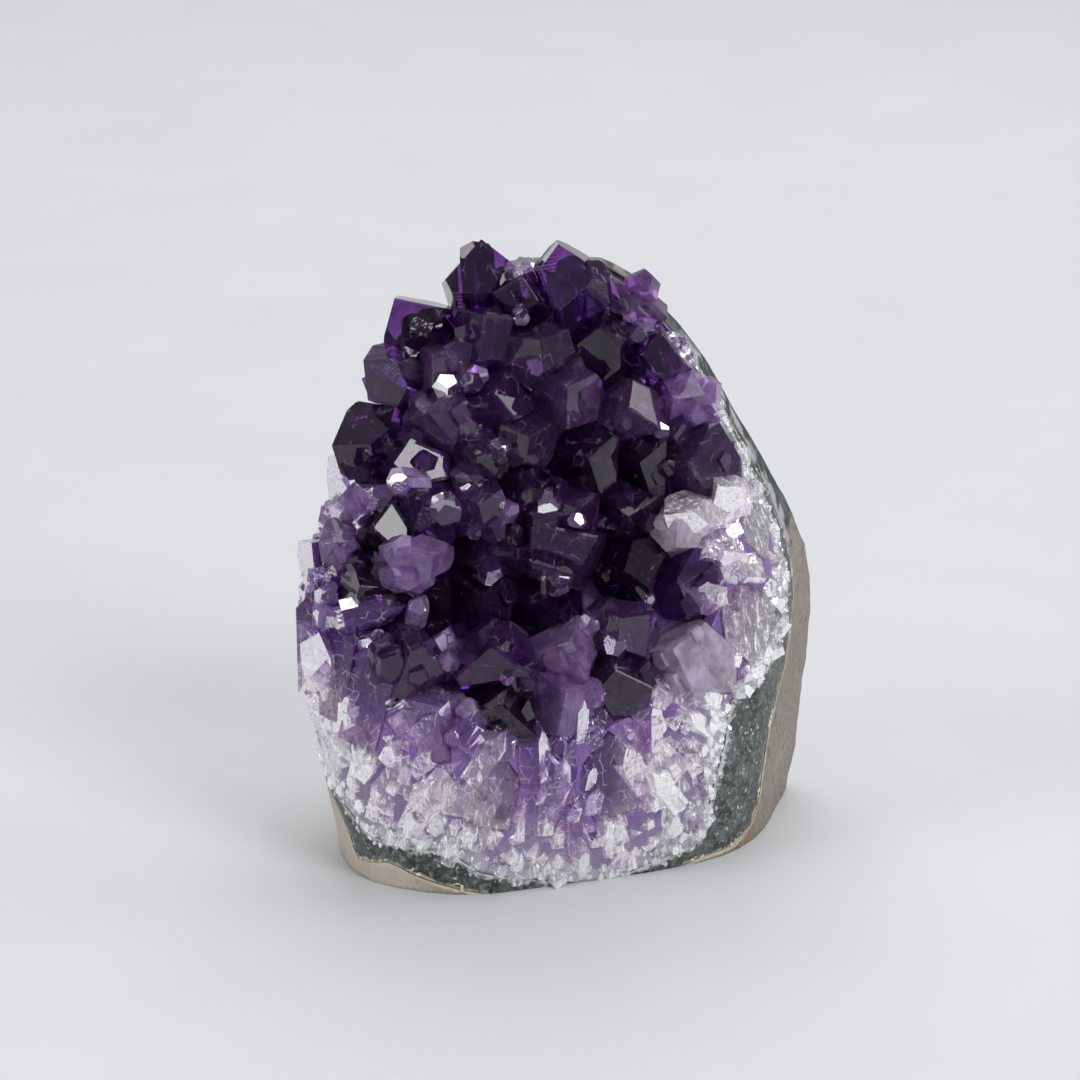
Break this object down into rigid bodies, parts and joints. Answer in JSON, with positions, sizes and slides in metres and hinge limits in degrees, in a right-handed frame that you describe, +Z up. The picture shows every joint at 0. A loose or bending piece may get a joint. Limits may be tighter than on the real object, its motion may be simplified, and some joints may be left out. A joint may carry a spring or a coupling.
{
  "type": "amethyst geode",
  "caption": "Cut-base section of a geode wall: basalt rind, green celadonite band and pale quartz bed, with purple amethyst crystals packed over its front.",
  "frame": {"origin": "centre of the footprint of its bounding box, on the flat sawn base", "axes": "+Z up from the sawn base to the crystals at the top, -Y the way the crystals face, +X to the right of someone who looks at the crystals"},
  "size_m": [0.0893, 0.0667, 0.1055],
  "materials": {
    "basalt": "matte",
    "celadonite": "satin",
    "milky_quartz": "gloss",
    "amethyst_dark": "polished",
    "amethyst_deep": "polished",
    "amethyst_smoky": "polished",
    "amethyst_mauve": "polished",
    "amethyst_violet": "polished",
    "amethyst_lilac": "polished"
  },
  "bodies": {
    "root": {"basalt_rind": "basalt", "celadonite_band": "celadonite", "quartz_bed": "milky_quartz", "crystal_01": "amethyst_dark", "crystal_02": "amethyst_deep", "crystal_03": "amethyst_dark", "crystal_04": "amethyst_mauve", "crystal_05": "amethyst_dark", "crystal_06": "amethyst_smoky", "crystal_07": "amethyst_dark", "crystal_08": "amethyst_mauve", "crystal_09": "amethyst_deep", "crystal_10": "amethyst_smoky", "crystal_11": "amethyst_dark", "crystal_12": "amethyst_dark", "crystal_13": "amethyst_mauve", "crystal_14": "amethyst_deep", "crystal_15": "amethyst_mauve", "crystal_16": "amethyst_mauve", "crystal_17": "amethyst_violet", "crystal_18": "amethyst_deep", "crystal_19": "amethyst_smoky", "crystal_20": "amethyst_smoky", "crystal_21": "amethyst_dark", "crystal_22": "amethyst_smoky", "crystal_23": "amethyst_dark", "crystal_24": "amethyst_violet", "crystal_25": "amethyst_violet", "crystal_26": "amethyst_dark", "crystal_27": "amethyst_dark", "crystal_28": "amethyst_deep", "crystal_29": "amethyst_deep", "crystal_30": "amethyst_dark", "crystal_31": "amethyst_deep", "crystal_32": "amethyst_smoky", "crystal_33": "amethyst_dark", "crystal_34": "amethyst_lilac", "crystal_35": "amethyst_violet", "crystal_36": "amethyst_dark", "crystal_37": "amethyst_dark", "crystal_38": "amethyst_dark", "crystal_39": "amethyst_dark", "crystal_40": "amethyst_dark", "crystal_41": "amethyst_smoky", "crystal_42": "amethyst_deep", "crystal_43": "amethyst_violet", "crystal_44": "amethyst_smoky", "crystal_45": "amethyst_deep", "crystal_46": "amethyst_lilac", "crystal_47": "amethyst_smoky", "crystal_48": "amethyst_violet", "crystal_49": "amethyst_dark", "crystal_50": "amethyst_violet", "crystal_51": "amethyst_violet", "crystal_52": "amethyst_lilac", "crystal_53": "amethyst_lilac", "crystal_54": "amethyst_lilac", "crystal_55": "amethyst_lilac", "crystal_56": "amethyst_lilac", "crystal_57": "amethyst_lilac"}
  },
  "joints": []
}
